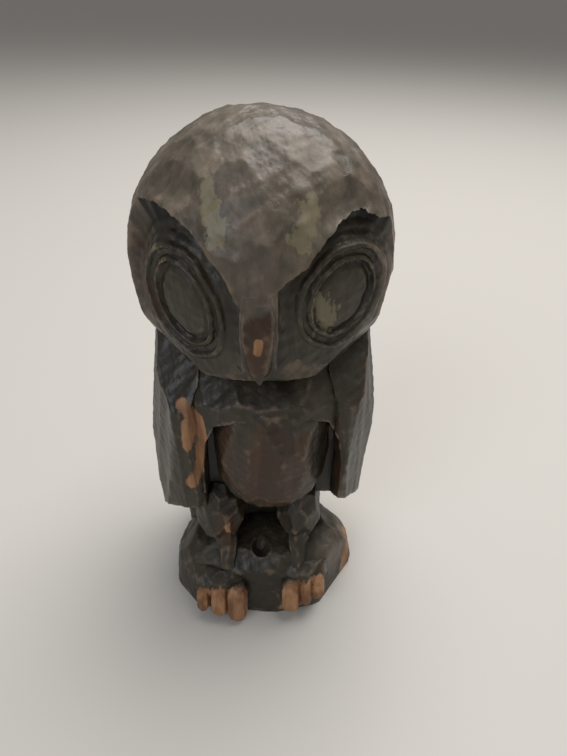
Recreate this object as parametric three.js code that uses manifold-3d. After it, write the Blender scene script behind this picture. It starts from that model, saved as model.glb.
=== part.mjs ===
import * as THREE from 'three';
import { ConvexGeometry } from 'three/addons/geometries/ConvexGeometry.js';
import { mergeVertices } from 'three/addons/utils/BufferGeometryUtils.js';
import Module from 'manifold-3d';

// A standing owl carved with its base from one block of dark-stained wood.
// Millimetres, +Z up, the owl faces -Y, origin in the middle of the underside below the owl's axis.
// "Left" and "right" are the left and right of someone who looks at the owl's face.

const DEG = Math.PI / 180;

// Driving dimensions
const HEIGHT = 159;
const HEAD_WIDTH = 74;
const BODY_WIDTH = 68.5;
const BASE_WIDTH = 64;

// Head
const HEAD_R = HEAD_WIDTH / 2;
const HEAD_Z = HEIGHT - HEAD_R;
const HEAD_FRONT = 0.97 * HEAD_R;
const HEAD_BACK = 0.9 * HEAD_R;
const CHIN_Z = 0.598 * HEIGHT;
const HEAD_TURN = DEG * -3;

// Face: two flats that meet behind the beak, each turned outwards
const BRIDGE_X = 0.05 * HEAD_WIDTH;
const BRIDGE_Y = -0.88 * HEAD_R;
const EYE_Z = HEAD_Z - 0.17 * HEAD_R;

// Body
const BODY_R = BODY_WIDTH / 2;
const BODY_FRONT = 0.89 * BODY_R;
const BODY_BACK = 0.84 * BODY_R;
const BODY_Z = 0.39 * HEIGHT;
const BELLY_Z = 0.412 * HEIGHT;
const BELLY_X = 0.03 * BODY_WIDTH;
const WING_TIP_Z = 0.15 * HEIGHT;
const SHOULDER_Z = 0.53 * HEIGHT;

// Base
const BASE_R = BASE_WIDTH / 2;
const BASE_TOP = 0.155 * HEIGHT;
const BASE_Y = -0.44 * BASE_R;
const BASE_FRONT = -1.03 * BASE_R;

const wasm = await Module();
wasm.setup();

const vec = (x, y, z) => new THREE.Vector3(x, y, z);

// A number between -1 and 1 that looks random and is always the same for the same pair.
function wobble(i, k) {
  const s = Math.sin(i * 12.9898 + k * 78.233) * 43758.5453;
  return 2 * (s - Math.floor(s)) - 1;
}

// Directions spread evenly over a ball along a spiral, each nudged a little.
function spread(count, seed) {
  const turn = Math.PI * (3 - Math.sqrt(5));
  return Array.from({ length: count }, (_, i) => {
    const z = 1 - (2 * i + 1) / count;
    const r = Math.sqrt(1 - z * z);
    const nudge = 0.7 / Math.sqrt(count);
    return vec(
      r * Math.cos(i * turn) + nudge * wobble(i, seed),
      r * Math.sin(i * turn) + nudge * wobble(i, seed + 1),
      z + nudge * wobble(i, seed + 2),
    ).normalize();
  });
}

// Turns a closed skin of triangles, whichever way it faces, into a body to join or cut.
function wood(geometry) {
  geometry.deleteAttribute('normal');
  geometry.deleteAttribute('uv');
  const merged = mergeVertices(geometry, 1e-3);
  const at = merged.attributes.position;
  const corner = (i) => new THREE.Vector3().fromBufferAttribute(at, i);
  const faces = [];
  let volume = 0;
  for (let t = 0; t < merged.index.count; t += 3) {
    const [a, b, c] = merged.index.array.slice(t, t + 3);
    if (a === b || b === c || c === a) continue;
    faces.push([a, b, c]);
    volume += corner(a).dot(corner(b).cross(corner(c)));
  }
  const facing = volume < 0 ? faces.map(([a, b, c]) => [a, c, b]) : faces;
  const mesh = new wasm.Mesh({
    numProp: 3,
    vertProperties: Float32Array.from(at.array),
    triVerts: Uint32Array.from(facing.flat()),
  });
  return new wasm.Manifold(mesh);
}

const join = (bodies) => bodies.reduce((sum, body) => sum.add(body));

// The flat that each triangle of a convex skin lies in: its normal and its distance from the origin.
function flatsOf(geometry) {
  const at = geometry.attributes.position;
  const flats = [];
  for (let t = 0; t < at.count; t += 3) {
    const a = vec(0, 0, 0).fromBufferAttribute(at, t);
    const b = vec(0, 0, 0).fromBufferAttribute(at, t + 1);
    const c = vec(0, 0, 0).fromBufferAttribute(at, t + 2);
    const normal = b.sub(a).cross(c.sub(a)).normalize();
    flats.push({ normal, distance: normal.dot(a) });
  }
  return flats;
}

// A convex lump as the knife leaves it. Its smooth form is an oval with half-sizes to each side of
// its middle, squarer in plan or in profile as those powers rise above 2. Each cut is a flat that
// touches the smooth form once. The extra flats are given as [normal, a point in the flat].
function whittle({ at, side, front, back, up, down, plan = 2, profile = 2, cuts, seed, flats = [] }) {
  const inPlan = plan / (plan - 1);
  const inProfile = profile / (profile - 1);
  const reach = (n) => {
    const across = Math.abs(side * n.x) ** inPlan;
    const along = Math.abs((n.y < 0 ? front : back) * n.y) ** inPlan;
    const level = (across + along) ** (inProfile / inPlan);
    return (level + Math.abs((n.z > 0 ? up : down) * n.z) ** inProfile) ** (1 / inProfile);
  };
  const depth = (i) => 1 - 0.006 * (1 + wobble(i, seed));
  const touching = spread(cuts, seed).map((n, i) => ({ n, distance: depth(i) * reach(n) }));
  const extra = flats.map(([n, through]) => ({ n: n.clone().normalize(), through }));
  const cutoff = extra.map(({ n, through }) => ({ n, distance: n.dot(through.clone().sub(at)) }));
  // Flats and corners trade places: the hull of 1/distance along each normal gives the lump's corners.
  const poles = [...touching, ...cutoff].map(({ n, distance }) => n.clone().divideScalar(distance));
  const ends = flatsOf(new ConvexGeometry(poles));
  const corners = ends.map(({ normal, distance }) => normal.divideScalar(distance));
  return new ConvexGeometry(corners).translate(at.x, at.y, at.z);
}

// A closed skin over rings of points, each end closed by a fan to the ring's middle.
function skin(rings) {
  const sides = rings[0].length;
  const middle = (ring) => ring.reduce((sum, p) => sum.add(p), vec(0, 0, 0)).divideScalar(sides);
  const points = [...rings.flat(), middle(rings[0]), middle(rings[rings.length - 1])];
  const last = (rings.length - 1) * sides;
  const faces = [];
  for (let j = 0; j < sides; j++) {
    const k = (j + 1) % sides;
    faces.push(points.length - 2, k, j);
    for (let a = 0; a < last; a += sides) {
      faces.push(a + j, a + k, a + sides + k);
      faces.push(a + j, a + sides + k, a + sides + j);
    }
    faces.push(points.length - 1, last + j, last + k);
  }
  const geometry = new THREE.BufferGeometry().setFromPoints(points);
  geometry.setIndex(faces);
  return geometry;
}

// An oval rod along a path. Its half-width and half-thickness follow the path's share, from 0 to 1.
function rod(path, wide, deep, sides = 12, steps = 10) {
  const curve = new THREE.CatmullRomCurve3(path);
  const rings = [];
  for (let i = 0; i <= steps; i++) {
    const t = i / steps;
    const along = curve.getTangentAt(t);
    const across = vec(0, 0, 1).cross(along).lengthSq() > 0.05 ? vec(0, 0, 1).cross(along) : vec(1, 0, 0);
    across.normalize();
    const out = along.clone().cross(across);
    const ring = [];
    for (let j = 0; j < sides; j++) {
      const a = (2 * Math.PI * j) / sides;
      const p = curve.getPointAt(t);
      p.addScaledVector(across, wide(t) * Math.cos(a));
      p.addScaledVector(out, deep(t) * Math.sin(a));
      ring.push(p);
    }
    rings.push(ring);
  }
  return skin(rings);
}

const turnHead = (geometry) => geometry.rotateZ(HEAD_TURN);

// Head: a dome above, a longer oval below, cut off flat where it overhangs the chest
function headLump() {
  const cheek = (side) => [
    vec(0.7 * side, -0.5, -0.5),
    vec(0.76 * side * HEAD_R, -0.4 * HEAD_R, CHIN_Z + 8),
  ];
  return whittle({
    at: vec(0, 0, HEAD_Z),
    side: HEAD_R,
    front: HEAD_FRONT,
    back: HEAD_BACK,
    up: HEAD_R,
    down: 1.32 * HEAD_R,
    cuts: 330,
    seed: 3,
    flats: [
      [vec(0, 0, -1), vec(0, 0, CHIN_Z)],
      [vec(0, -0.3, -1), vec(0, -HEAD_FRONT, CHIN_Z + 4)],
      cheek(-1),
      cheek(1),
    ],
  });
}

// The two sides of the face. turn is how far the flat is turned outwards. The brow line is seen from
// the front, as [x, z] from the bridge to the horn tip. Each eye is an inner and an outer oval,
// given by their half-sizes about the point [out, z] of the flat, with their tops leaning outwards.
// The hollow over the brow runs through the points [bearing, z] of the head.
const FACES = [
  {
    side: -1,
    turn: DEG * 33,
    brow: [
      [4.5, 121],
      [6, 124],
      [7.8, 128],
      [11.2, 132.3],
      [14.3, 135.9],
      [19, 139],
      [23.5, 140.5],
      [29, 140],
    ],
    hollow: [[68, 141.5], [55, 145], [42, 145.5], [29, 142], [16, 136]],
    eye: [19, EYE_Z],
    inner: [7.4, 11],
    outer: [11.2, 15.2],
    lean: DEG * 26,
  },
  {
    side: 1,
    turn: DEG * 30,
    brow: [
      [4.5, 125.5],
      [7.4, 128],
      [11.2, 130.5],
      [13.5, 133.6],
      [16.5, 136.7],
      [19.5, 139],
      [23, 139.8],
      [30.5, 136],
    ],
    hollow: [[60, 140], [50, 142.5], [38, 142.5], [27, 140], [14, 134]],
    eye: [20, EYE_Z + 2.4],
    inner: [8.6, 10.2],
    outer: [12.4, 14],
    lean: DEG * 32,
  },
];

// A point of a face flat: out along the flat from the bridge, height z, lifted off the flat.
function facePoint({ side, turn }, out, z, lift) {
  const x = BRIDGE_X + out * Math.cos(turn) + lift * Math.sin(turn);
  const y = BRIDGE_Y + out * Math.sin(turn) - lift * Math.cos(turn);
  return vec(side * x, y, z);
}

// Rings about the eye: reach is 0 in its middle, 1 on the inner oval and 2 on the outer one.
// Each is [reach, height over the flat at the ring's bottom, the same at its top].
const EYE_RINGS = [
  [0.4, 0.5, 0.5],
  [0.72, 0.2, 0.2],
  [0.93, -0.7, -0.7],
  [1.08, 0.6, 0.6],
  [1.25, 0.3, 0.3],
  [1.42, -0.6, -0.6],
  [1.7, -0.4, -0.4],
  [1.92, 0.6, 0.6],
  [2.08, 0.5, 0.4],
  [2.35, -0.4, -1.4],
  [2.9, -0.3, -3.4],
  [3.6, 0, -4.6],
  [12, 0, -5],
];

// The cut that leaves one side of the face with its ringed eye, under the brow and beside the beak
function faceCut(face) {
  const { side, brow, eye, inner, outer, lean } = face;
  const ring = ([reach, low, high]) => {
    const share = Math.max(0, reach - 1);
    const half = inner.map((size, i) => Math.min(1, reach) * size + share * (outer[i] - size));
    const points = [];
    for (let j = 0; j < 36; j++) {
      const a = (2 * Math.PI * j) / 36;
      const across = half[0] * Math.cos(a);
      const up = half[1] * Math.sin(a);
      const out = eye[0] + across * Math.cos(lean) + up * Math.sin(lean);
      const z = eye[1] + up * Math.cos(lean) - across * Math.sin(lean);
      points.push(facePoint(face, out, z, low + ((high - low) * (1 + Math.sin(a))) / 2));
    }
    return points;
  };
  const pad = skin([...EYE_RINGS.map(ring), ring([12, HEAD_R, HEAD_R])]);
  const below = CHIN_Z - 20;
  const [tipX, tipZ] = brow[brow.length - 1];
  const outline = [[brow[0][0], below], ...brow, [2 * tipX, tipZ - 14], [2 * tipX, below]];
  const prism = skin([0, -2 * HEAD_R].map((y) => outline.map(([x, z]) => vec(side * x, y, z))));
  return wood(turnHead(pad)).intersect(wood(turnHead(prism)));
}

// A point on the head's smooth form, lifted off it. bearing is 0 at the front, positive to the right.
function headPoint(bearing, z, lift) {
  const a = DEG * bearing;
  const level = Math.sqrt(1 - ((z - HEAD_Z) / HEAD_R) ** 2);
  const out = vec(Math.sin(a) * level, -Math.cos(a) * level, (z - HEAD_Z) / HEAD_R);
  return vec(HEAD_R * out.x, HEAD_FRONT * out.y, HEAD_Z + HEAD_R * out.z).addScaledVector(out, lift);
}

// The shallow hollow above a brow, which leaves the brow as a sharp lip
function browHollow({ side, hollow }) {
  const size = 14;
  const bite = [-2, 1.3, 1.5, 0.8, -1];
  const path = hollow.map(([bearing, z], i) => headPoint(side * bearing, z, size - bite[i]));
  return wood(turnHead(rod(path, () => size, () => size, 28, 14)));
}

// Beak: a faceted ridge from the bridge down to a blunt tip over the chest
function beak() {
  const top = HEAD_Z + 0.05 * HEAD_R;
  const hump = HEAD_Z - 0.3 * HEAD_R;
  const tip = HEAD_Z - 0.55 * HEAD_R;
  const outline = [
    [-5.2, -31, top],
    [5.2, -31, top + 2],
    [-3.5, -35.5, top],
    [3, -35.5, top + 1],
    [-3.8, -37.6, hump + 2],
    [3.2, -38.4, hump + 3],
    [-5.6, -30, hump],
    [5.8, -30, hump],
    [-2, -38.6, tip + 3],
    [2.2, -38.8, tip + 4],
    [0.4, -37.5, tip - 1],
    [-3.6, -30, tip - 1],
    [3.8, -30, tip],
  ];
  return turnHead(new ConvexGeometry(outline.map(([x, y, z]) => vec(x, y, z))));
}

// The shoulder flats slope down and forward on each side. side is -1 for the left and 1 for the right.
function shoulder(side) {
  return [vec(0.42 * side, -0.6, 0.68), vec(0.68 * side * BODY_R, -0.72 * BODY_FRONT, SHOULDER_Z)];
}

// The two flats of a keel-like underside: a long one that climbs forwards and a steep one behind
function keel(z) {
  const lowest = vec(0, 0.35 * BODY_BACK, z);
  return [
    [vec(0, -0.54, -0.84), lowest],
    [vec(0, 0.86, -0.5), lowest],
  ];
}

// The flat under the back of the head
const NAPE = [vec(0, 0.8, 0.6), vec(0, BODY_BACK, 0.52 * HEIGHT)];

// Back, flanks and shoulders
function trunk() {
  return whittle({
    at: vec(0, 0, BODY_Z),
    side: 0.9 * BODY_R,
    front: BODY_FRONT,
    back: BODY_BACK,
    up: 0.31 * HEIGHT,
    down: 0.5 * HEIGHT,
    profile: 4,
    cuts: 200,
    seed: 11,
    flats: [
      [vec(0, -0.62, 0.78), vec(0, -0.97 * BODY_FRONT, SHOULDER_Z + 3)],
      shoulder(-1),
      shoulder(1),
      NAPE,
      ...keel(WING_TIP_Z + 4),
    ],
  });
}

// A folded wing: a thick slab proud of the trunk, its front edge turned in, its tip low at the back
function wing(side, tipZ) {
  const slab = whittle({
    at: vec(0.76 * side * BODY_R, 0.07 * BODY_R, BODY_Z),
    side: 0.215 * BODY_R,
    front: 0.72 * BODY_R,
    back: 0.7 * BODY_R,
    up: 0.28 * HEIGHT,
    down: 0.5 * HEIGHT,
    plan: 2.4,
    profile: 3,
    cuts: 170,
    seed: 18 + side,
    flats: [shoulder(side), NAPE, ...keel(tipZ)],
  });
  return slab.rotateZ(DEG * -8 * side);
}

// The wood taken away between the wings, from the chest down. The belly fills all but a groove
// along each wing.
function betweenWings() {
  const half = 0.315 * BODY_WIDTH;
  const arch = [[1, 0.1], [1, 0.4], [0.95, 0.455], [0.8, 0.5], [0.5, 0.52]];
  const corners = [];
  for (const [share, z] of arch) {
    for (const side of [-1, 1]) {
      const x = BELLY_X + side * share * half;
      corners.push(vec(x - side * 1.5, -0.6 * BODY_FRONT, z * HEIGHT - 2));
      corners.push(vec(x + side * 1.5, -1.4 * BODY_FRONT, z * HEIGHT + 2));
    }
  }
  return new ConvexGeometry(corners);
}

// Belly and chest, which slopes back above to the shoulders
function belly() {
  return whittle({
    at: vec(BELLY_X, -0.23 * BODY_R, BELLY_Z),
    side: 0.275 * BODY_WIDTH,
    front: 0.725 * BODY_R,
    back: 0.5 * BODY_R,
    up: 0.2 * HEIGHT,
    down: 0.154 * HEIGHT,
    plan: 2.3,
    profile: 3,
    cuts: 150,
    seed: 23,
    flats: [[vec(0, -0.6, 0.8), vec(0, -BODY_FRONT, SHOULDER_Z + 1)]],
  });
}

// Rump and tail, the column behind the legs that reaches the ground
function tail() {
  return whittle({
    at: vec(-0.055 * BODY_WIDTH, 0.17 * BODY_R, 0.12 * HEIGHT),
    side: 0.73 * BODY_R,
    front: 0.5 * BODY_R,
    back: 0.6 * BODY_R,
    up: 0.36 * HEIGHT,
    down: 0.25 * HEIGHT,
    plan: 2.6,
    profile: 3,
    cuts: 110,
    seed: 31,
    flats: [[vec(0, 0, -1), vec(0, 0, 0)]],
  });
}

function base() {
  return whittle({
    at: vec(0, BASE_Y, 0.01),
    side: BASE_R,
    front: BASE_Y - BASE_FRONT,
    back: 0.62 * BASE_R,
    up: BASE_TOP,
    down: BASE_TOP,
    plan: 3,
    profile: 3,
    cuts: 96,
    seed: 47,
    flats: [
      [vec(0, 0, -1), vec(0, 0, 0)],
      [vec(0.79, -0.61, 0.08), vec(0.78 * BASE_R, -0.76 * BASE_R, 0)],
      [vec(-0.77, -0.63, 0.08), vec(-0.9 * BASE_R, -0.78 * BASE_R, 0)],
    ],
  });
}

// Thigh, ankle and foot of one leg
function leg({ x, thigh, ankle, foot }) {
  const knee = whittle({
    at: vec(x, -17.5, 0.225 * HEIGHT),
    side: thigh,
    front: 9,
    back: 12,
    up: 13,
    down: 13,
    cuts: 36,
    seed: 53,
  });
  const shin = rod(
    [vec(x + 0.5, -21, 0.2 * HEIGHT), vec(ankle, -24, 0.15 * HEIGHT), vec(ankle, -27.5, 0.11 * HEIGHT)],
    (t) => 4.2 - 1.2 * t,
    (t) => 4.2 - 0.8 * t,
    8,
    4,
  );
  const instep = whittle({
    at: vec(foot.x, foot.y, foot.z),
    side: foot.half,
    front: 8.5,
    back: 8,
    up: 5,
    down: 9,
    plan: 2.5,
    profile: 2.5,
    cuts: 44,
    seed: 59,
  });
  return [knee, shin, instep];
}

// A toe hangs from its instep over the base's front edge and ends in a blunt claw.
// It is given as [x, y of the claw, half-width, height of the knuckle, height of the claw's end].
function toe([x, y, half, high, low]) {
  const path = [
    vec(x, y + 8, high - 3),
    vec(x, y + 3, high - 1.5),
    vec(x, y + 0.4, high - 5),
    vec(x, y, 0.5 * (high + low) - 1),
    vec(x, y - 0.2, low),
  ];
  const round = (t) => Math.sqrt(Math.max(0.15, 1 - Math.max(0, (t - 0.75) / 0.27) ** 2));
  return rod(path, (t) => half * round(t), (t) => 2.8 * round(t), 10, 9);
}

const LEGS = [
  { x: -15, thigh: 7.5, ankle: -13, foot: { x: -16, y: -26, z: 13, half: 9.5 } },
  { x: 11.5, thigh: 7, ankle: 11, foot: { x: 13, y: -25, z: 14.5, half: 8.5 } },
];

const TOES = [
  [-21.8, -34.4, 2.4, 13, 4],
  [-16.2, -35.8, 3, 13.6, 2.6],
  [-10.1, -36.8, 3.6, 14, 0.6],
  [8.4, -36, 3.4, 14.5, 3.8],
  [13.5, -35, 2.2, 15.5, 5.8],
  [17.6, -33.4, 2.7, 15.6, 7.4],
];

// A smooth oval cutter
function oval(x, y, z, wide, deep, tall) {
  return new THREE.SphereGeometry(1, 20, 14).scale(wide, deep, tall).translate(x, y, z);
}

const cut = (body, cutters) => cutters.reduce((rest, cutter) => rest.subtract(cutter), body);

const head = cut(wood(turnHead(headLump())), [...FACES.map(browHollow), ...FACES.map(faceCut)]);
const underWing = [-1, 1].map((side) => wood(oval(side * 24, -11, 34, 4.5, 14, 9)));
const wings = [wing(-1, WING_TIP_Z), wing(1, WING_TIP_Z + 2.5)];
const body = cut(join([trunk(), ...wings].map(wood)), [wood(betweenWings()), ...underWing]);
const lumps = [beak(), belly(), tail(), base(), ...LEGS.flatMap(leg), ...TOES.map(toe)];
const whole = join([head, body, ...lumps.map(wood)]);
const carved = cut(whole, [wood(oval(-1.5, -25, 25, 3.4, 4, 5))]);

const mesh = carved.getMesh();
const geometry = new THREE.BufferGeometry();
geometry.setAttribute('position', new THREE.BufferAttribute(Float32Array.from(mesh.vertProperties), 3));
geometry.setIndex(Array.from(mesh.triVerts));
geometry.computeVertexNormals();

const darkWood = new THREE.MeshStandardMaterial({ color: 0x3b2b22, roughness: 0.45, metalness: 0 });
const owl = new THREE.Mesh(geometry, darkWood);
owl.name = 'carved_owl';

const group = new THREE.Group();
group.add(owl);
export default group;
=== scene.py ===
"""A standing owl carved with its base from one block of dark-stained, waxed wood.

The owl is carved here as it was by hand: convex lumps of wood, each cut all over by a shallow gouge,
are joined, then the face, the grooves and the hollows are cut out of them. Sizes are in millimetres
until the carving is finished. The owl faces -Y, and left and right are those of someone who looks at
its face.
"""

import math
from itertools import combinations

import bpy
import numpy as np
from mathutils import Matrix


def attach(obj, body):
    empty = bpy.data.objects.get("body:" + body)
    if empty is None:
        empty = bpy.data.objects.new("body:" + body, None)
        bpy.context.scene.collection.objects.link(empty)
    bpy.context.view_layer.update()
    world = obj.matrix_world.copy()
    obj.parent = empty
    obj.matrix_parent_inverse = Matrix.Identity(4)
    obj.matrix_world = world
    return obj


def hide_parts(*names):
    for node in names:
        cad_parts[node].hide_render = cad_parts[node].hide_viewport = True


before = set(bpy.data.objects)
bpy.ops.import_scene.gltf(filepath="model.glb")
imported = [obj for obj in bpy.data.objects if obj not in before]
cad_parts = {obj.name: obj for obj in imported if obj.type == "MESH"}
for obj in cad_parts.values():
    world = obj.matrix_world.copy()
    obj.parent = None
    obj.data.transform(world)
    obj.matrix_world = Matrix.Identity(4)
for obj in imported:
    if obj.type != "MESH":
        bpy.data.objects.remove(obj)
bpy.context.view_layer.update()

MM = 0.001
DEG = math.pi / 180

# Driving dimensions
HEIGHT = 159
HEAD_WIDTH = 74
BODY_WIDTH = 68.5
BASE_WIDTH = 64

# Head
HEAD_R = HEAD_WIDTH / 2
HEAD_Z = HEIGHT - HEAD_R
HEAD_FRONT = 0.97 * HEAD_R
HEAD_BACK = 0.9 * HEAD_R
CHIN_Z = 0.598 * HEIGHT
HEAD_TURN = -3 * DEG

# Face: two flats that meet behind the beak, each turned outwards
BRIDGE_X = 0.05 * HEAD_WIDTH
BRIDGE_Y = -0.88 * HEAD_R
EYE_Z = HEAD_Z - 0.17 * HEAD_R

# Body
BODY_R = BODY_WIDTH / 2
BODY_FRONT = 0.89 * BODY_R
BODY_BACK = 0.84 * BODY_R
BODY_Z = 0.39 * HEIGHT
BELLY_Z = 0.412 * HEIGHT
BELLY_X = 0.03 * BODY_WIDTH
WING_TIP_Z = 0.15 * HEIGHT
SHOULDER_Z = 0.53 * HEIGHT

# Base
BASE_R = BASE_WIDTH / 2
BASE_TOP = 0.155 * HEIGHT
BASE_Y = -0.44 * BASE_R
BASE_FRONT = -1.03 * BASE_R

# Fineness: the distance between points as the lumps are carved, and the finished mesh's triangles
STEP = 0.5
TRIANGLES = 190_000


def unit(v):
    """Each vector divided by its length."""
    return v / np.linalg.norm(v, axis=-1, keepdims=True)


def wobble(i, k):
    """A number between -1 and 1 that looks random: the fraction of a large multiple of a sine."""
    s = np.sin(i * 12.9898 + k * 78.233) * 43758.5453
    return 2 * (s - np.floor(s)) - 1


def spread(count, seed):
    """Directions spread evenly over a ball along a spiral, each nudged a little."""
    i = np.arange(count)
    z = 1 - (2 * i + 1) / count
    r = np.sqrt(1 - z * z)
    turn = i * math.pi * (3 - math.sqrt(5))
    nudge = 0.7 / math.sqrt(count) * np.stack([wobble(i, seed + k) for k in range(3)], 1)
    return unit(np.stack([r * np.cos(turn), r * np.sin(turn), z], 1) + nudge)


def smooth_path(points, count):
    """Points evenly spaced along cubic arcs through the given ones, each arc's slope that of its neighbours."""
    p = np.asarray(points, float)
    t = np.concatenate([[0], np.cumsum(np.linalg.norm(np.diff(p, axis=0), axis=1))])
    slope = np.gradient(p, t, axis=0)
    s = np.linspace(0, t[-1], count)
    k = np.clip(np.searchsorted(t, s, side="right") - 1, 0, len(p) - 2)
    h = (t[k + 1] - t[k])[:, None]
    u = (s - t[k])[:, None] / h
    rise = u * u * (3 - 2 * u)
    bend = u * (1 - u) * h
    return p[k] + rise * (p[k + 1] - p[k]) + bend * ((1 - u) * slope[k] - u * slope[k + 1])


def ripples(p, size, seed):
    """A smooth unevenness between about -1 and 1: the mean of sine waves that run several ways."""
    ways = spread(7, seed)
    waves = [np.sin(p @ way * (2 + 0.5 * i) * math.pi / size + 5 * i) for i, way in enumerate(ways)]
    return sum(waves) / 3.5


# Meshes


def skin(rings):
    """Points and triangles of a closed tube of rings, with each end closed by a fan to its middle."""
    rows, sides = rings.shape[:2]
    j = np.arange(sides)
    k = (j + 1) % sides
    a = sides * np.arange(rows - 1)[:, None]
    walls = np.stack([a + j, a + k, a + sides + k, a + j, a + sides + k, a + sides + j], -1)
    last = sides * (rows - 1)
    first_fan = np.stack([np.full(sides, rows * sides), k, j], 1)
    last_fan = np.stack([np.full(sides, rows * sides + 1), last + j, last + k], 1)
    points = np.concatenate([rings.reshape(-1, 3), [rings[0].mean(0)], [rings[-1].mean(0)]])
    triangles = np.concatenate([walls.reshape(-1, 3), first_fan, last_fan])
    return points, triangles


def wood(rings, turn=0.0):
    """A closed body over rings of points, turned about the owl's upright axis, with its faces outwards."""
    points, triangles = skin(rings)
    cos, sin = math.cos(turn), math.sin(turn)
    points = points @ np.array([[cos, sin, 0], [-sin, cos, 0], [0, 0, 1]])
    a, b, c = (points[triangles[:, i]] for i in range(3))
    if (a * np.cross(b, c)).sum() < 0:
        triangles = triangles[:, ::-1]
    mesh = bpy.data.meshes.new("wood")
    mesh.vertices.add(len(points))
    mesh.vertices.foreach_set("co", points.astype(np.float32).ravel())
    mesh.loops.add(triangles.size)
    mesh.loops.foreach_set("vertex_index", triangles.astype(np.int32).ravel())
    mesh.polygons.add(len(triangles))
    mesh.polygons.foreach_set("loop_start", np.arange(0, triangles.size, 3, dtype=np.int32))
    mesh.update(calc_edges=True)
    mesh.validate()
    body = bpy.data.objects.new("wood", mesh)
    bpy.context.scene.collection.objects.link(body)
    return body


def finished(body):
    """The body's mesh with its modifiers applied."""
    bpy.context.view_layer.update()
    graph = bpy.context.evaluated_depsgraph_get()
    mesh = bpy.data.meshes.new_from_object(body.evaluated_get(graph))
    body.modifiers.clear()
    body.data = mesh
    return body


def combine(body, others, operation):
    """The body joined with the others (UNION), cut by them (DIFFERENCE) or kept inside them (INTERSECT)."""
    for other in others:
        step = body.modifiers.new("carve", "BOOLEAN")
        step.operation = operation
        step.solver = "MANIFOLD"
        step.object = other
    finished(body)
    for other in others:
        bpy.data.objects.remove(other)
    return body


# Carving

CUTS = []


def ball(half_low, half_high):
    """Directions for a fine grid over a lump: rings from its top to its bottom, closer where it is small."""
    size = (half_low + half_high) / 2
    rows = max(12, round(math.pi * (size[1] + size[2]) / 2 / STEP))
    sides = max(16, round(math.pi * (size[0] + size[1]) / STEP))
    down = (np.arange(rows)[:, None] + 0.5) / rows * math.pi
    around = np.arange(sides) / sides * 2 * math.pi
    d = np.stack(np.broadcast_arrays(np.sin(down) * np.sin(around), -np.sin(down) * np.cos(around), np.cos(down)), -1)
    return unit(d * np.where(d > 0, half_high, half_low))


def nearest_cut(ways, normals, distances, flute):
    """How far a lump reaches along each direction: the least distance / (normal . direction) of its cuts.

    Each cut is fluted: its distance is less by depth * |cos| of the place across the gouge's stroke."""
    across, middle, depth, width = flute
    reach = np.empty(len(ways))
    for part in np.array_split(np.arange(len(ways)), max(1, len(ways) * len(normals) // 2_000_000)):
        facing = np.maximum(ways[part] @ normals.T, 1e-3)
        place = distances / facing * (ways[part] @ across.T) - middle
        dip = depth * np.abs(np.cos(0.5 * math.pi * place / width))
        reach[part] = ((distances - dip) / facing).min(1)
    return reach


def strokes(normals, touch, seed, upright, depth, width):
    """The flute of each cut: the direction across its stroke, its middle, its depth and half its width."""
    i = np.arange(len(normals))
    level = unit(np.cross(normals, [0.02, 0.01, 1]))
    tilt = (1 - upright) * math.pi * wobble(i, seed + 5) + 0.12 * wobble(i, seed + 6)
    across = np.cos(tilt)[:, None] * level + np.sin(tilt)[:, None] * np.cross(normals, level)
    depths = depth * (0.65 + 0.35 * wobble(i, seed + 7))
    widths = width * (1 + 0.25 * wobble(i, seed + 8))
    return across, (touch * across).sum(1), depths, widths


def lump(at, half_low, half_high, normals, distances, flute, turn=0.0):
    """A closed body about a middle, its surface where the nearest cut is along each direction."""
    ways = ball(half_low, half_high)
    reach = nearest_cut(ways.reshape(-1, 3), normals, distances, flute)
    CUTS.append((at, normals, distances, turn))
    return wood(at + ways * reach.reshape(*ways.shape[:2], 1), turn)


def whittle(
    at, side, front, back, up, down, cuts, seed, plan=2, profile=2, flats=(), depth=0.3, width=5, upright=0, turn=0
):
    """A convex lump as the knife leaves it.

    Its smooth form is an oval with half-sizes to each side of its middle, squarer in plan or in profile
    as those powers rise above 2. Each cut is a shallow flute that touches the smooth form once. The
    extra flats are given as [normal, a point in the flat]."""
    at = np.array(at, float)
    half_low = np.array([side, front, down], float)
    half_high = np.array([side, back, up], float)
    normals = spread(cuts, seed)
    half = np.where(normals > 0, half_high, half_low)
    q = plan / (plan - 1)
    s = profile / (profile - 1)
    size = np.abs(half * normals)
    level = size[:, 0] ** q + size[:, 1] ** q
    distances = (level ** (s / q) + size[:, 2] ** s) ** (1 / s)
    sideways = (distances ** (1 - s) * level ** (s / q - 1))[:, None] * size[:, :2] ** (q - 1)
    upwards = (distances ** (1 - s) * size[:, 2] ** (s - 1))[:, None]
    touch = half * np.sign(normals) * np.concatenate([sideways, upwards], 1)
    distances = distances * (1 - 0.006 * (1 + wobble(np.arange(cuts), seed)))
    across, middle, depths, widths = strokes(normals, touch, seed, upright, depth, width)
    for normal, through in flats:
        normal = unit(np.array(normal, float))
        there = np.array(through, float) - at
        flute = strokes(normal[None], there[None], seed, upright, depth if normal[2] > -0.9 else 0, width)
        normals = np.concatenate([normals, normal[None]])
        distances = np.append(distances, normal @ there)
        across = np.concatenate([across, flute[0]])
        middle, depths, widths = (np.append(a, b) for a, b in zip((middle, depths, widths), flute[1:]))
    return lump(at, half_low, half_high, normals, distances, (across, middle, depths, widths), turn)


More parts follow.
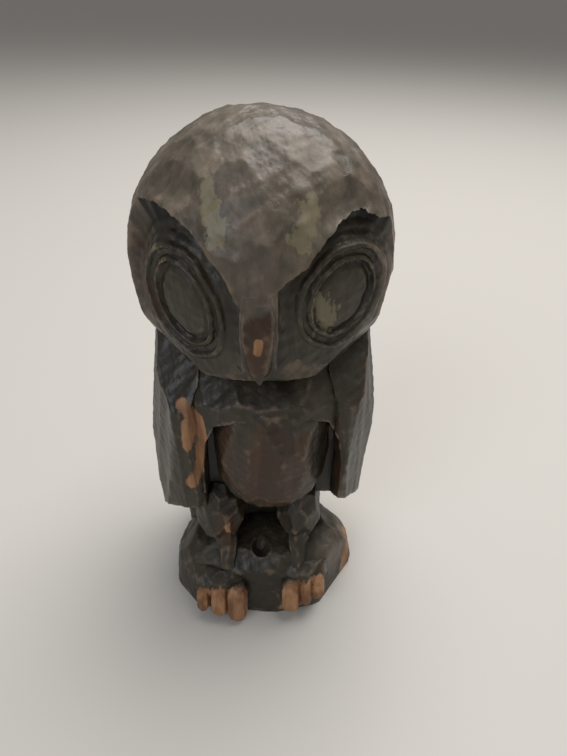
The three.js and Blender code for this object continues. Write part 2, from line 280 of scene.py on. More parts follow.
def hull(corners, turn=0.0, depth=0.0, width=3.0, upright=1.0, seed=1):
    """The tightest convex body round some corners, with each of its sides cut as a flute.

    Each side is the flat through three corners that has all the others behind it."""
    corners = np.array(corners, float)
    at = corners.mean(0)
    p = corners - at
    a, b, c = (p[list(three)] for three in zip(*combinations(range(len(p)), 3)))
    normals = np.cross(b - a, c - a)
    area = np.linalg.norm(normals, axis=1)
    a, normals = a[area > 0.01], normals[area > 0.01] / area[area > 0.01, None]
    height = (normals * a).sum(1)
    normals = normals * np.where(height < 0, -1, 1)[:, None]
    distances = np.abs(height)
    outer = (p @ normals.T - distances).max(0) < 1e-3
    flats = np.unique(np.round(np.column_stack([normals[outer], distances[outer]]), 3), axis=0)
    normals, distances = flats[:, :3], flats[:, 3]
    flute = strokes(normals, normals * distances[:, None], seed, upright, depth, width)
    return lump(at, -p.min(0), p.max(0), normals, distances, flute, turn)


def rod(path, wide, deep, sides=40, turn=0.0, flats=0):
    """An oval rod along a path. Its half-width and half-thickness follow the path's share, from 0 to 1.

    flats is how many knife cuts go round it: they draw the oval in to a polygon."""
    length = np.linalg.norm(np.diff(np.asarray(path, float), axis=0), axis=1).sum()
    line = smooth_path(path, max(10, round(length / STEP)))
    t = np.linspace(0, 1, len(line))
    along = unit(np.gradient(line, axis=0))
    across = np.cross([0, 0, 1], along)
    across = unit(np.where((across**2).sum(1, keepdims=True) > 0.05, across, [1, 0, 0]))
    out = np.cross(along, across)
    a = np.arange(sides) / sides * 2 * math.pi
    reach = np.ones(sides)
    if flats:
        reach = math.cos(math.pi / flats) / np.cos(a % (2 * math.pi / flats) - math.pi / flats)
    x = (wide(t)[:, None] * np.cos(a) * reach)[..., None] * across[:, None]
    y = (deep(t)[:, None] * np.sin(a) * reach)[..., None] * out[:, None]
    return wood(line[:, None] + x + y, turn)


# Head


def head_lump():
    """A dome above, a longer oval below, cut off flat where it overhangs the chest."""
    cheeks = [
        [(0.7 * side, -0.5, -0.5), (0.76 * side * HEAD_R, -0.4 * HEAD_R, CHIN_Z + 8)] for side in (-1, 1)
    ]
    return whittle(
        at=(0, 0, HEAD_Z),
        side=HEAD_R,
        front=HEAD_FRONT,
        back=HEAD_BACK,
        up=HEAD_R,
        down=1.32 * HEAD_R,
        cuts=330,
        seed=3,
        flats=[
            [(0, 0, -1), (0, 0, CHIN_Z)],
            [(0, -0.3, -1), (0, -HEAD_FRONT, CHIN_Z + 4)],
            *cheeks,
        ],
        depth=0.35,
        width=5.5,
        turn=HEAD_TURN,
    )


# The two sides of the face. turn is how far the flat is turned outwards. The brow line is seen from
# the front, as (x, z) from the bridge to the horn tip. Each eye is an inner and an outer oval, given
# by their half-sizes about the point (out, z) of the flat, with their tops leaning outwards. The
# hollow over the brow runs through the points (bearing, z) of the head.
FACES = [
    {
        "side": -1,
        "turn": 33 * DEG,
        "brow": [(4.5, 121), (6, 124), (7.8, 128), (11.2, 132.3), (14.3, 135.9), (19, 139), (23.5, 140.5), (29, 140)],
        "hollow": [(68, 141.5), (55, 145), (42, 145.5), (29, 142), (16, 136)],
        "eye": (19, EYE_Z),
        "inner": np.array([7.4, 11]),
        "outer": np.array([11.2, 15.2]),
        "lean": 26 * DEG,
    },
    {
        "side": 1,
        "turn": 30 * DEG,
        "brow": [
            (4.5, 125.5), (7.4, 128), (11.2, 130.5), (13.5, 133.6), (16.5, 136.7), (19.5, 139), (23, 139.8), (30.5, 136)
        ],
        "hollow": [(60, 140), (50, 142.5), (38, 142.5), (27, 140), (14, 134)],
        "eye": (20, EYE_Z + 2.4),
        "inner": np.array([8.6, 10.2]),
        "outer": np.array([12.4, 14]),
        "lean": 32 * DEG,
    },
]

# Rings about the eye: reach is 0 in its middle, 1 on the inner oval and 2 on the outer one.
# Each is (reach, height over the flat at the ring's bottom, the same at its top).
EYE_RINGS = np.array([
    (0, 0.5, 0.5),
    (0.4, 0.5, 0.5),
    (0.72, 0.2, 0.2),
    (0.93, -0.7, -0.7),
    (1.08, 0.6, 0.6),
    (1.25, 0.3, 0.3),
    (1.42, -0.6, -0.6),
    (1.7, -0.4, -0.4),
    (1.92, 0.6, 0.6),
    (2.08, 0.5, 0.4),
    (2.35, -0.4, -1.4),
    (2.9, -0.3, -3.4),
    (3.6, 0, -4.6),
    (12, 0, -5),
])


def eased(x, knots, values):
    """Values between the knots, level at each knot: the share between two knots t becomes t * t * (3 - 2t)."""
    k = np.clip(np.searchsorted(knots, x, side="right") - 1, 0, len(knots) - 2)
    t = (x - knots[k]) / (knots[k + 1] - knots[k])
    return values[k] + t * t * (3 - 2 * t) * (values[k + 1] - values[k])


def face_points(face, out, z, lift):
    """Points of a face flat: out along the flat from the bridge, height z, lifted off the flat."""
    x = BRIDGE_X + out * math.cos(face["turn"]) + lift * math.sin(face["turn"])
    y = BRIDGE_Y + out * math.sin(face["turn"]) - lift * math.cos(face["turn"])
    return np.stack(np.broadcast_arrays(face["side"] * x, y, z), -1)


def face_cut(face):
    """The wood taken from one side of the face: rings about the eye, kept inside the brow's outline.

    A ring's place is reach * the eye's oval, and its height over the flat goes up and down with reach."""
    reach = np.concatenate([np.arange(0.02, 3.6, STEP / 11), [5, 8, 12]])[:, None]
    a = np.arange(0, 360, 1.5 * STEP / 0.5) * DEG
    drift = 0.03 * np.sin(3 * a + face["side"]) + 0.02 * np.sin(7 * a)
    share = np.maximum(0, reach - 1)
    half = [np.minimum(1, reach) * face["inner"][i] + share * (face["outer"] - face["inner"])[i] for i in (0, 1)]
    across = half[0] * np.cos(a)
    up = half[1] * np.sin(a)
    out = face["eye"][0] + across * math.cos(face["lean"]) + up * math.sin(face["lean"])
    z = face["eye"][1] + up * math.cos(face["lean"]) - across * math.sin(face["lean"])
    ringed = np.clip(reach * (1 + drift), 0, 12)
    low, high = (eased(ringed, EYE_RINGS[:, 0], EYE_RINGS[:, i]) for i in (1, 2))
    lift = low + (high - low) * (1 + np.sin(a)) / 2
    nicks = 0.1 * np.abs(np.sin(14 * a + 2 * reach)) * np.clip(reach - 0.8, 0, 1)
    rings = face_points(face, out, z, lift - nicks)
    front = face_points(face, out[-1:], z[-1:], HEAD_R)
    pad = wood(np.concatenate([rings, front]), HEAD_TURN)

    brow = smooth_path(face["brow"], 80)
    brow[:, 1] += 0.15 * np.sin(brow[:, 0] * 2.1) + 0.1 * np.sin(brow[:, 0] * 5.3)
    tip_x, tip_z = brow[-1]
    below = CHIN_Z - 20
    corners = [(2 * tip_x, tip_z - 14), (2 * tip_x, below), (brow[0][0], below)]
    outline = np.concatenate([brow, corners])
    y = -np.arange(0, 2 * HEAD_R, 1.6 * STEP)[:, None]
    prism = np.stack(np.broadcast_arrays(face["side"] * outline[:, 0], y, outline[:, 1]), -1)
    return combine(pad, [wood(prism, HEAD_TURN)], "INTERSECT")


def brow_hollow(face):
    """The shallow hollow above a brow: a thick rod along the head's smooth form that bites a little into it."""
    size = 14
    bite = np.array([-2, 1.3, 1.5, 0.8, -1])
    bearing, z = np.array(face["hollow"], float).T
    rise = (z - HEAD_Z) / HEAD_R
    level = np.sqrt(1 - rise**2)
    out = np.stack([np.sin(bearing * DEG) * level, -np.cos(bearing * DEG) * level, rise], 1)
    path = out * [HEAD_R, HEAD_FRONT, HEAD_R] + [0, 0, HEAD_Z] + out * (size - bite)[:, None]
    path[:, 0] *= face["side"]
    return rod(path, lambda t: size + 0 * t, lambda t: size + 0 * t, sides=180, turn=HEAD_TURN)


def beak():
    """A faceted ridge from the bridge down to a blunt tip over the chest."""
    top = HEAD_Z + 0.05 * HEAD_R
    hump = HEAD_Z - 0.3 * HEAD_R
    tip = HEAD_Z - 0.55 * HEAD_R
    corners = [
        (-5.2, -31, top),
        (5.2, -31, top + 2),
        (-3.5, -35.5, top),
        (3, -35.5, top + 1),
        (-3.8, -37.6, hump + 2),
        (3.2, -38.4, hump + 3),
        (-5.6, -30, hump),
        (5.8, -30, hump),
        (-2, -38.6, tip + 3),
        (2.2, -38.8, tip + 4),
        (0.4, -37.5, tip - 1),
        (-3.6, -30, tip - 1),
        (3.8, -30, tip),
    ]
    return hull(corners, HEAD_TURN, depth=0.2, width=2.2)


# Body


def shoulder(side):
    """A flat that slopes down and forward on one side."""
    return [(0.42 * side, -0.6, 0.68), (0.68 * side * BODY_R, -0.72 * BODY_FRONT, SHOULDER_Z)]


def keel(z):
    """The two flats of a keel-like underside: a long one that climbs forwards and a steep one behind."""
    lowest = (0, 0.35 * BODY_BACK, z)
    return [[(0, -0.54, -0.84), lowest], [(0, 0.86, -0.5), lowest]]


NAPE = [(0, 0.8, 0.6), (0, BODY_BACK, 0.52 * HEIGHT)]


def trunk():
    """Back, flanks and shoulders."""
    return whittle(
        at=(0, 0, BODY_Z),
        side=0.9 * BODY_R,
        front=BODY_FRONT,
        back=BODY_BACK,
        up=0.31 * HEIGHT,
        down=0.5 * HEIGHT,
        profile=4,
        cuts=200,
        seed=11,
        flats=[
            [(0, -0.62, 0.78), (0, -0.97 * BODY_FRONT, SHOULDER_Z + 3)],
            shoulder(-1),
            shoulder(1),
            NAPE,
            *keel(WING_TIP_Z + 4),
        ],
        upright=0.8,
    )


def wing(side, tip_z):
    """A folded wing: a thick slab proud of the trunk, its front edge turned in, its tip low at the back."""
    turn = -8 * DEG * side
    return whittle(
        at=(0.76 * side * BODY_R, 0.07 * BODY_R, BODY_Z),
        side=0.215 * BODY_R,
        front=0.72 * BODY_R,
        back=0.7 * BODY_R,
        up=0.28 * HEIGHT,
        down=0.5 * HEIGHT,
        plan=2.4,
        profile=3,
        cuts=170,
        seed=18 + side,
        flats=[shoulder(side), NAPE, *keel(tip_z)],
        depth=0.4,
        width=4,
        upright=0.9,
        turn=turn,
    )


def between_wings():
    """The wood taken away between the wings, from the chest down."""
    half = 0.315 * BODY_WIDTH
    corners = []
    for share, z in [(1, 0.1), (1, 0.4), (0.95, 0.455), (0.8, 0.5), (0.5, 0.52)]:
        for side in (-1, 1):
            x = BELLY_X + side * share * half
            corners.append((x - side * 1.5, -0.6 * BODY_FRONT, z * HEIGHT - 2))
            corners.append((x + side * 1.5, -1.4 * BODY_FRONT, z * HEIGHT + 2))
    return hull(corners)


def belly():
    """Belly and chest, which slopes back above to the shoulders."""
    return whittle(
        at=(BELLY_X, -0.23 * BODY_R, BELLY_Z),
        side=0.275 * BODY_WIDTH,
        front=0.725 * BODY_R,
        back=0.5 * BODY_R,
        up=0.2 * HEIGHT,
        down=0.154 * HEIGHT,
        plan=2.3,
        profile=3,
        cuts=150,
        seed=23,
        flats=[[(0, -0.6, 0.8), (0, -BODY_FRONT, SHOULDER_Z + 1)]],
        depth=0.2,
    )


def tail():
    """Rump and tail, the column behind the legs that reaches the ground."""
    return whittle(
        at=(-0.055 * BODY_WIDTH, 0.17 * BODY_R, 0.12 * HEIGHT),
        side=0.73 * BODY_R,
        front=0.5 * BODY_R,
        back=0.6 * BODY_R,
        up=0.36 * HEIGHT,
        down=0.25 * HEIGHT,
        plan=2.6,
        profile=3,
        cuts=110,
        seed=31,
        flats=[[(0, 0, -1), (0, 0, -1)]],
        upright=0.9,
    )


# Base and legs


def base():
    """A rock-like mound with steep sides."""
    return whittle(
        at=(0, BASE_Y, 0.01),
        side=BASE_R,
        front=BASE_Y - BASE_FRONT,
        back=0.62 * BASE_R,
        up=BASE_TOP,
        down=BASE_TOP,
        plan=3,
        profile=3,
        cuts=96,
        seed=47,
        flats=[
            [(0.79, -0.61, 0.08), (0.78 * BASE_R, -0.76 * BASE_R, 0)],
            [(-0.77, -0.63, 0.08), (-0.9 * BASE_R, -0.78 * BASE_R, 0)],
        ],
        upright=0.4,
        depth=0.35,
    )


def leg(x, thigh, ankle, foot, half):
    """Thigh, ankle and foot of one leg."""
    knee = whittle((x, -17.5, 0.225 * HEIGHT), thigh, 9, 12, 13, 13, cuts=36, seed=53, depth=0.25, width=3)
    path = [(x + 0.5, -21, 0.2 * HEIGHT), (ankle, -24, 0.15 * HEIGHT), (ankle, -27.5, 0.11 * HEIGHT)]
    shin = rod(path, lambda t: 4.2 - 1.2 * t, lambda t: 4.2 - 0.8 * t, flats=8)
    instep = whittle(foot, half, 8.5, 8, 5, 9, cuts=44, seed=59, plan=2.5, profile=2.5, depth=0.2, width=3)
    return [knee, shin, instep]


def toe(x, y, half, high, low):
    """A toe hangs from its instep over the base's front edge and ends in a blunt claw.

    y is that of the claw, high the height of the knuckle and low that of the claw's end."""
    path = [
        (x, y + 8, high - 3),
        (x, y + 3, high - 1.5),
        (x, y + 0.4, high - 5),
        (x, y, 0.5 * (high + low) - 1),
        (x, y - 0.2, low),
    ]

    def end(t):
        return np.sqrt(np.maximum(0.15, 1 - np.maximum(0, (t - 0.75) / 0.27) ** 2))

    return rod(path, lambda t: half * end(t), lambda t: 2.8 * end(t), sides=36, flats=7)


LEGS = [
    (-15, 7.5, -13, (-16, -26, 13), 9.5),
    (11.5, 7, 11, (13, -25, 14.5), 8.5),
]

TOES = [
    (-21.8, -34.4, 2.4, 13, 4),
    (-16.2, -35.8, 3, 13.6, 2.6),
    (-10.1, -36.8, 3.6, 14, 0.6),
    (8.4, -36, 3.4, 14.5, 3.8),
    (13.5, -35, 2.2, 15.5, 5.8),
    (17.6, -33.4, 2.7, 15.6, 7.4),
]


def pocket(at, wide, deep, tall, seed):
    """A hollow scooped out with the gouge."""
    return whittle(at, wide, deep, deep, tall, tall, cuts=60, seed=seed, depth=0)


def ground():
    """All that lies under the owl's underside."""
    corners = np.array([(-60, -60), (60, -60), (60, 60), (-60, 60)])
    return wood(np.stack([np.column_stack([corners, np.full(4, z)]) for z in (-60, 0)]))


def carve():
    """The whole owl: head and body carved, then joined with the rest, and the last hollows cut."""
    head = combine(head_lump(), [brow_hollow(face) for face in FACES], "DIFFERENCE")
    head = combine(head, [face_cut(face) for face in FACES], "DIFFERENCE")
    body = combine(trunk(), [wing(-1, WING_TIP_Z), wing(1, WING_TIP_Z + 2.5)], "UNION")
    hollows = [between_wings(), *(pocket((24 * side, -11, 34), 4.5, 14, 9, 71) for side in (-1, 1))]
    body = combine(body, hollows, "DIFFERENCE")
    rest = [beak(), belly(), tail(), base()]
    rest += [part for sizes in LEGS for part in leg(*sizes)]
    rest += [toe(*sizes) for sizes in TOES]
    owl = combine(head, [body, *rest], "UNION")
    return combine(owl, [pocket((-1.5, -25, 25), 3.4, 4, 5, 73), ground()], "DIFFERENCE")


# Surface


def geometry(mesh):
    """A mesh's points, point normals, edges, triangle middles and triangle normals as arrays."""
    p = np.empty(len(mesh.vertices) * 3)
    mesh.vertices.foreach_get("co", p)
    n = np.empty(len(mesh.vertices) * 3, np.float32)
    mesh.vertex_normals.foreach_get("vector", n)
    edges = np.empty(len(mesh.edges) * 2, np.int32)
    mesh.edges.foreach_get("vertices", edges)
    middles = np.empty(len(mesh.polygons) * 3, np.float32)
    mesh.polygons.foreach_get("center", middles)
    return p.reshape(-1, 3), n.reshape(-1, 3), edges.reshape(-1, 2), middles.reshape(-1, 3)


def smoothed(values, edges, rounds):
    """Each value moved to the mean of itself and its neighbours' mean, some rounds over."""
    count = np.bincount(edges.ravel(), minlength=len(values))
    for _ in range(rounds):
        total = np.stack([
            np.bincount(edges[:, 0], column[edges[:, 1]], len(values))
            + np.bincount(edges[:, 1], column[edges[:, 0]], len(values))
            for column in values.T
        ], 1)
        values = 0.5 * values + 0.5 * total / np.maximum(count, 1)[:, None]
    return values


def ramp(x, low, high):
    """0 below low, 1 above high, and a smooth rise between them."""
    t = np.clip((x - low) / (high - low), 0, 1)
    return t * t * (3 - 2 * t)


def put(mesh, name, values, domain="POINT"):
    """Keeps a number for each point or triangle of the mesh, for the finish to read."""
    attribute = mesh.attributes.get(name) or mesh.attributes.new(name, "FLOAT", domain)
    attribute.data.foreach_set("value", np.asarray(values, np.float32))


def near(p, places):
    """1 on the given lines, falling evenly to 0 at their reach, and on below 0 beyond it.

    Each place is (a list of points, reach); a place of one point is a spot."""
    best = np.full(len(p), -1.0)
    for points, reach in places:
        q = np.array(points, float)
        for a, b in zip(q[:-1], q[1:]) if len(q) > 1 else [(q[0], q[0] + [0, 0, 0.01])]:
            share = np.clip((p - a) @ (b - a) / ((b - a) @ (b - a)), 0, 1)[:, None]
            distance = np.linalg.norm(p - a - share * (b - a), axis=1)
            best = np.maximum(best, 1 - distance / reach)
    return np.maximum(best, -1)


def depth_in(lump_cuts, p):
    """How deep points lie under a lump's cuts, and the number of the cut that is nearest."""
    at, normals, distances, turn = lump_cuts
    cos, sin = math.cos(turn), math.sin(turn)
    q = p @ np.array([[cos, -sin, 0], [sin, cos, 0], [0, 0, 1]]) - at
    reach = 1.15 * np.linalg.norm(q, axis=1).min() + 1.6 * distances.max()
    depth = np.full(len(p), 99.0)
    cut = np.zeros(len(p), int)
    close = np.flatnonzero(np.linalg.norm(q, axis=1) < reach)
    for part in np.array_split(close, max(1, len(close) * len(normals) // 4_000_000)):
        under = distances - q[part] @ normals.T
        cut[part] = under.argmin(1)
        depth[part] = under.min(1)
    return depth, cut


# Places where the finish is worn, dusty or changed, in millimetres
BARE = [
    ([(-23, -22.5, 84), (-20, -24, 80), (-18.4, -25, 72), (-19.3, -25, 62), (-22.3, -26, 56)], 2.6),
    ([(-22, -25, 79), (-22.5, -26, 71)], 2.4),
    ([(30, -12, 14), (30.8, -16.5, 8), (30, -18, 2)], 3.2),
    ([(-12.4, -26.3, 36.5), (-12, -26.5, 31)], 1.4),
    ([(-2, -38, 113.5), (-2.2, -38, 111)], 1.3),
]
for x, y, half, high, low in TOES:
    BARE.append(([(x, y - 1.5, high - 2.5), (x, y - 2, low)], half + 2.6))

RED = [
    ([(-11.5, -27, 76), (-11.5, -27, 58)], 4),
    ([(2, -33, 72), (2, -33, 56)], 13),
    ([(-2.6, -37, 120), (-2.5, -38, 108)], 5),
    ([(-34.5, -8, 130), (-34, -12, 118), (-31, -18, 108)], 5),
    ([(14.8, -26, 141), (12, -31, 136)], 3),
    ([(22, -20, 78), (22.5, -22, 55)], 5),
    ([(28, -16, 18), (30, -16, 4)], 7),
    ([(-12.4, -26.3, 38), (-12, -26.5, 28)], 4),
]

DUST = [
    ([(-12.7, -24.4, 145.3), (-11.5, -31, 137.3)], 3.2),
    ([(10.4, -28, 143), (8, -32, 137)], 3.2),
    ([(14, -27, 118), (16, -26.5, 112)], 3.5),
    ([(-31, -12, 136), (-27, -20, 126)], 2.5),
]


def finish_surface(owl):
    """The dense carving gets a slight unevenness, then fewer triangles, then the marks that its finish reads."""
    p, n, edges, _ = geometry(owl.data)
    uneven = 0.12 * ripples(p, 7, 5) + 0.06 * ripples(p, 2.6, 9)
    clear = ramp(p[:, 2], 0.2, 2.5)
    p = p + n * (uneven * clear)[:, None]
    p[:, 2] = np.maximum(p[:, 2], 0)
    owl.data.vertices.foreach_set("co", p.astype(np.float32).ravel())
    owl.data.update()

    fewer = owl.modifiers.new("fewer", "DECIMATE")
    fewer.ratio = min(1, TRIANGLES / sum(len(face.vertices) - 2 for face in owl.data.polygons))
    fewer.use_collapse_triangulate = True
    finished(owl)

    mesh = owl.data
    p, n, edges, middles = geometry(mesh)
    fine = ((p - smoothed(p, edges, 3)) * n).sum(1)
    broad = ((p - smoothed(p, edges, 30)) * n).sum(1)
    put(mesh, "arris", smoothed(np.stack([fine]).T, edges, 1)[:, 0])
    # Concavity: the finish darkens hollows from it, partly as stain pooled there and partly as painted shade.
    put(mesh, "hollow_stain_and_shade", -broad)

    tone = np.zeros(len(middles))
    closest = np.full(len(middles), 1.5)
    for number, cuts in enumerate(CUTS):
        depth, cut = depth_in(cuts, middles)
        here = np.abs(depth) < closest
        tone[here] = wobble(cut[here], number + 20)
        closest[here] = np.abs(depth)[here]
    put(mesh, "tone", tone, "FACE")

    head_depth, _ = depth_in(CUTS[0], p)
    # The head's upper facets (all but those facing down) and the base's right top get paler: partly worn stain, partly
    # painted top light and sheen from above.
    dome = ramp(head_depth, 2.2, 1.2) * ramp(head_depth, -1.0, -0.4) * ramp(n[:, 2], -0.75, -0.35)
    dome *= ramp(p[:, 2], CHIN_Z + 2, CHIN_Z + 16)
    put(mesh, "faded_and_lit", np.maximum(dome, 0.8 * ramp(near(p, [([(22, -12, 21), (24, -20, 17)], 13)]), 0, 0.5)))
    for name, places in (("bare", BARE), ("red", RED), ("dust", DUST)):
        put(mesh, name, near(p, places))
    mesh.shade_smooth()
    mesh.set_sharp_from_angle(angle=32 * DEG)
    mesh.transform(Matrix.Scale(MM, 4))
    return owl


# Finish


def node(tree, kind, inputs=None, **settings):
    """A shader node with its settings and its inputs: plain values, or sockets to link from."""
    made = tree.nodes.new(kind)
    for name, value in settings.items():
        setattr(made, name, value)
    for name, value in (inputs or {}).items():
        if isinstance(value, bpy.types.NodeSocket):
            tree.links.new(value, made.inputs[name])
        else:
            made.inputs[name].default_value = value
    return made


def math_node(tree, operation, *values, clamp=False):
    made = node(tree, "ShaderNodeMath", dict(enumerate(values)), operation=operation, use_clamp=clamp)
    return made.outputs[0]


def step_up(tree, value, low, high):
    """The value brought from low..high to 0..1, and held there."""
    inputs = {"Value": value, "From Min": low, "From Max": high}
    return node(tree, "ShaderNodeMapRange", inputs, interpolation_type="SMOOTHSTEP").outputs[0]


def blend(tree, share, below, above, mode="MIX"):
    made = node(tree, "ShaderNodeMix", data_type="RGBA", blend_type=mode)
    for number, value in ((0, share), (6, below), (7, above)):
        if isinstance(value, bpy.types.NodeSocket):
            tree.links.new(value, made.inputs[number])
        else:
            made.inputs[number].default_value = value
    return made.outputs[2]


def noise(tree, place, scale, detail=3.0, roughness=0.55):
    inputs = {"Vector": place, "Scale": scale, "Detail": detail, "Roughness": roughness}
    return node(tree, "ShaderNodeTexNoise", inputs).outputs[0]


def group(name, inputs, outputs):
    """An empty shader node group with named inputs and outputs, and its two end nodes."""
    tree = bpy.data.node_groups.new(name, "ShaderNodeTree")
    for label, kind, value in inputs:
        socket = tree.interface.new_socket(label, in_out="INPUT", socket_type=kind)
        if value is not None:
            socket.default_value = value
    for label, kind in outputs:
        tree.interface.new_socket(label, in_out="OUTPUT", socket_type=kind)
    return tree, tree.nodes.new("NodeGroupInput").outputs, tree.nodes.new("NodeGroupOutput").inputs


FLOAT = "NodeSocketFloat"
VECTOR = "NodeSocketVector"


def grain_group():
    """Upright streaks of grain, broad and fine, from noise that is stretched along Z."""
    tree, given, gives = group("Wood grain", [("Place", VECTOR, None)], [("Streaks", FLOAT), ("Lines", FLOAT)])
    broad = node(tree, "ShaderNodeMapping", {"Vector": given["Place"], "Scale": (1, 1, 0.14)}).outputs[0]
    fine = node(tree, "ShaderNodeMapping", {"Vector": given["Place"], "Scale": (1, 1, 0.05)}).outputs[0]
    tree.links.new(noise(tree, broad, 260, 4, 0.6), gives["Streaks"])
    tree.links.new(noise(tree, fine, 1100, 3, 0.6), gives["Lines"])
    return tree


def worn_group():
    """Where a finish is worn through: a field that falls off from the worst place, broken up by noise."""
    tree, given, gives = group(
        "Worn through",
        [("Field", FLOAT, 0.0), ("Place", VECTOR, None), ("Ragged", FLOAT, 0.5), ("Size", FLOAT, 400.0)],
        [("Mask", FLOAT)],
    )
    upright = node(tree, "ShaderNodeMapping", {"Vector": given["Place"], "Scale": (1, 1, 0.35)}).outputs[0]
    breaks = noise(tree, upright, given["Size"], 5, 0.65)
    shift = math_node(tree, "MULTIPLY", math_node(tree, "SUBTRACT", breaks, 0.5), given["Ragged"])
    value = math_node(tree, "ADD", given["Field"], math_node(tree, "MULTIPLY", shift, 4.0))
    tree.links.new(step_up(tree, value, 0.05, 0.35), gives["Mask"])
    return tree


def attribute(tree, name):
    return node(tree, "ShaderNodeAttribute", attribute_name=name).outputs["Fac"]


def stained_wood():
    """Dark stain under wax: redder where hands rub it, paler on the head and the base's right top as worn stain and
    painted top light, near black in hollows as pooled stain and painted shade, bare on toes and one wing.
    """
    material = bpy.data.materials.new("stained wood")
    material.use_nodes = True
    tree = material.node_tree
    surface = tree.nodes["Principled BSDF"]
    place = node(tree, "ShaderNodeTexCoord").outputs["Object"]
    grain = node(tree, "ShaderNodeGroup", node_tree=grain_group())
    tree.links.new(place, grain.inputs["Place"])
    worn = worn_group()

    def worn_mask(name, ragged, size):
        made = node(tree, "ShaderNodeGroup", node_tree=worn)
        tree.links.new(attribute(tree, name), made.inputs["Field"])
        tree.links.new(place, made.inputs["Place"])
        made.inputs["Ragged"].default_value = ragged
        made.inputs["Size"].default_value = size
        return made.outputs["Mask"]

    tone = attribute(tree, "tone")
    cloud = noise(tree, place, 60, 3)
    patches = noise(tree, place, 180, 4)
    arris = step_up(tree, attribute(tree, "arris"), 0.015, 0.12)
    hollow_stain_and_shade = step_up(tree, attribute(tree, "hollow_stain_and_shade"), 0.1, 1.2)
    faded_and_lit = attribute(tree, "faded_and_lit")

    stain = blend(tree, step_up(tree, cloud, 0.35, 0.65), (0.024, 0.019, 0.011, 1), (0.042, 0.033, 0.02, 1))
    red = math_node(tree, "MULTIPLY", worn_mask("red", 0.5, 160), 0.85)
    stain = blend(tree, red, stain, (0.05, 0.022, 0.009, 1))
    pale = blend(tree, step_up(tree, patches, 0.3, 0.7), (0.085, 0.072, 0.052, 1), (0.15, 0.118, 0.09, 1))
    # Painted top light: the head's upper facets and the base's right top go paler, partly worn stain and partly painted
    # light and sheen from above.
    stain = blend(tree, faded_and_lit, stain, pale)
    streaked = blend(tree, step_up(tree, grain.outputs["Streaks"], 0.35, 0.7), (0.72, 0.7, 0.66, 1), (1.25, 1.25, 1.25, 1))
    stain = blend(tree, 0.8, stain, streaked, "MULTIPLY")
    lighter = math_node(tree, "MULTIPLY_ADD", tone, 0.22, 1.0)
    tinted = node(tree, "ShaderNodeCombineColor", {"Red": lighter, "Green": lighter, "Blue": lighter}).outputs[0]
    stain = blend(tree, 1.0, stain, tinted, "MULTIPLY")
    # Painted shade: hollows go near black, partly stain pooled there and partly shade painted in where less light
    # falls.
    stain = blend(tree, hollow_stain_and_shade, stain, (0.008, 0.006, 0.004, 1))
    rub = math_node(tree, "MULTIPLY", arris, step_up(tree, patches, 0.4, 0.62))
    stain = blend(tree, math_node(tree, "MULTIPLY", rub, 0.55), stain, (0.2, 0.14, 0.09, 1))
    stain = blend(tree, math_node(tree, "MULTIPLY", worn_mask("dust", 0.9, 500), 0.5), stain, (0.25, 0.215, 0.12, 1))
    bare = worn_mask("bare", 0.35, 420)
    heart = blend(tree, step_up(tree, grain.outputs["Streaks"], 0.3, 0.7), (0.16, 0.07, 0.03, 1), (0.42, 0.22, 0.105, 1))
    tree.links.new(blend(tree, bare, stain, heart), surface.inputs["Base Color"])

    rough = math_node(tree, "MULTIPLY_ADD", cloud, 0.25, 0.3)
    rough = math_node(tree, "MULTIPLY_ADD", tone, 0.05, rough)
    rough = math_node(tree, "MULTIPLY_ADD", bare, 0.2, rough, clamp=True)
    tree.links.new(rough, surface.inputs["Roughness"])
    surface.inputs["Specular IOR Level"].default_value = 0.45

    lines = math_node(tree, "MULTIPLY", grain.outputs["Lines"], 0.5)
    relief = math_node(tree, "ADD", lines, math_node(tree, "MULTIPLY", grain.outputs["Streaks"], 0.6))
    relief = math_node(tree, "ADD", relief, math_node(tree, "MULTIPLY", noise(tree, place, 900, 4), 0.35))
    bump = node(tree, "ShaderNodeBump", {"Height": relief, "Strength": 0.5, "Distance": 0.0003})
    tree.links.new(bump.outputs[0], surface.inputs["Normal"])
    return material


# Room


def plain(name, colour, rough):
    material = bpy.data.materials.new(name)
    material.use_nodes = True
    surface = material.node_tree.nodes["Principled BSDF"]
    surface.inputs["Base Color"].default_value = (*colour, 1)
    surface.inputs["Roughness"].default_value = rough
    return material


def floor():
    """A plain pale floor, 24 m wide."""
    half = 12
    mesh = bpy.data.meshes.new("floor")
    mesh.from_pydata([(-half, -half, 0), (half, -half, 0), (half, half, 0), (-half, half, 0)], [], [(0, 1, 2, 3)])
    ground = bpy.data.objects.new("floor", mesh)
    mesh.materials.append(plain("pale floor", (0.55, 0.53, 0.5), 0.7))
    bpy.context.scene.collection.objects.link(ground)


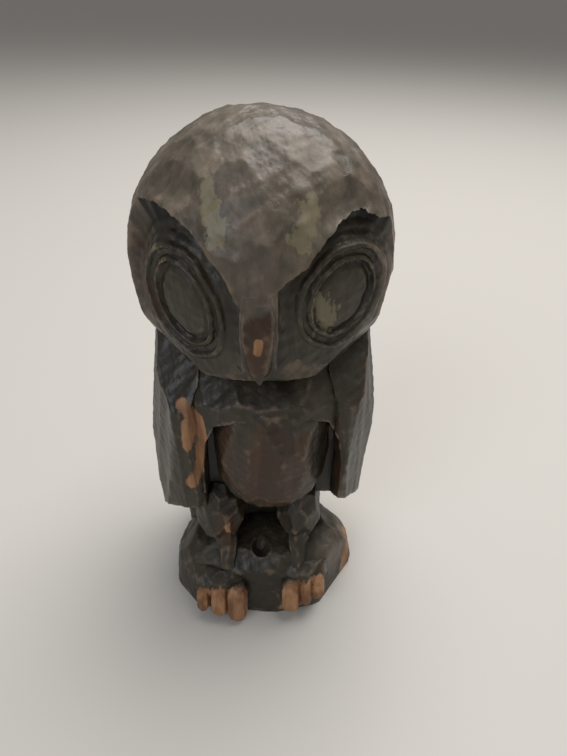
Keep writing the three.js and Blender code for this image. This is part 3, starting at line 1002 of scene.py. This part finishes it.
def lamp(name, place, target, size, power, colour):
    """A soft square light that faces its target."""
    light = bpy.data.lights.new(name, "AREA")
    light.size = size
    light.energy = power
    light.color = colour
    made = bpy.data.objects.new(name, light)
    back = unit(np.array(place, float) - np.array(target, float))
    side = unit(np.cross([0.01, 0.02, 1], back))
    turned = Matrix(np.column_stack([side, np.cross(back, side), back])).to_4x4()
    made.matrix_world = Matrix.Translation(place) @ turned
    bpy.context.scene.collection.objects.link(made)


def camera():
    """The photograph's view: from above, 35 degrees down, a little to the left and turned slightly."""
    heading, pitch, roll = -4 * DEG, 35 * DEG, 1.15 * DEG
    ahead = np.array([-math.sin(heading), math.cos(heading), 0])
    right = np.array([math.cos(heading), math.sin(heading), 0])
    forward = ahead * math.cos(pitch) - np.array([0, 0, math.sin(pitch)])
    upward = ahead * math.sin(pitch) + np.array([0, 0, math.cos(pitch)])
    level, upright = right * math.cos(roll) + upward * math.sin(roll), upward * math.cos(roll) - right * math.sin(roll)
    place = (right * 6.78 - ahead * 152.05 + np.array([0, 0, 183.7])) * MM
    made = bpy.data.objects.new("camera", bpy.data.cameras.new("camera"))
    made.matrix_world = Matrix.Translation(place) @ Matrix(np.column_stack([level, upright, -forward])).to_4x4()
    made.data.sensor_width = 36
    made.data.lens = 36 * 568 / 756
    made.data.clip_start = 0.01
    bpy.context.scene.collection.objects.link(made)
    bpy.context.scene.camera = made


def room():
    floor()
    camera()
    lamp("overhead", (0.25, 0.35, 1.1), (0, 0, 0.1), 1.0, 16, (1, 0.97, 0.93))
    lamp("window", (-0.7, -0.9, 0.9), (0, 0, 0.08), 0.7, 5, (0.82, 0.9, 1))
    world = bpy.data.worlds.new("room")
    world.use_nodes = True
    world.node_tree.nodes["Background"].inputs["Color"].default_value = (1, 0.98, 0.95, 1)
    world.node_tree.nodes["Background"].inputs["Strength"].default_value = 0.25
    bpy.context.scene.world = world
    bpy.context.scene.view_settings.view_transform = "Standard"


owl = finish_surface(carve())
owl.name = "whittled_owl"
owl.data.name = "whittled_owl"
owl.data.materials.clear()
owl.data.materials.append(stained_wood())
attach(owl, "root")
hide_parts("carved_owl")
room()
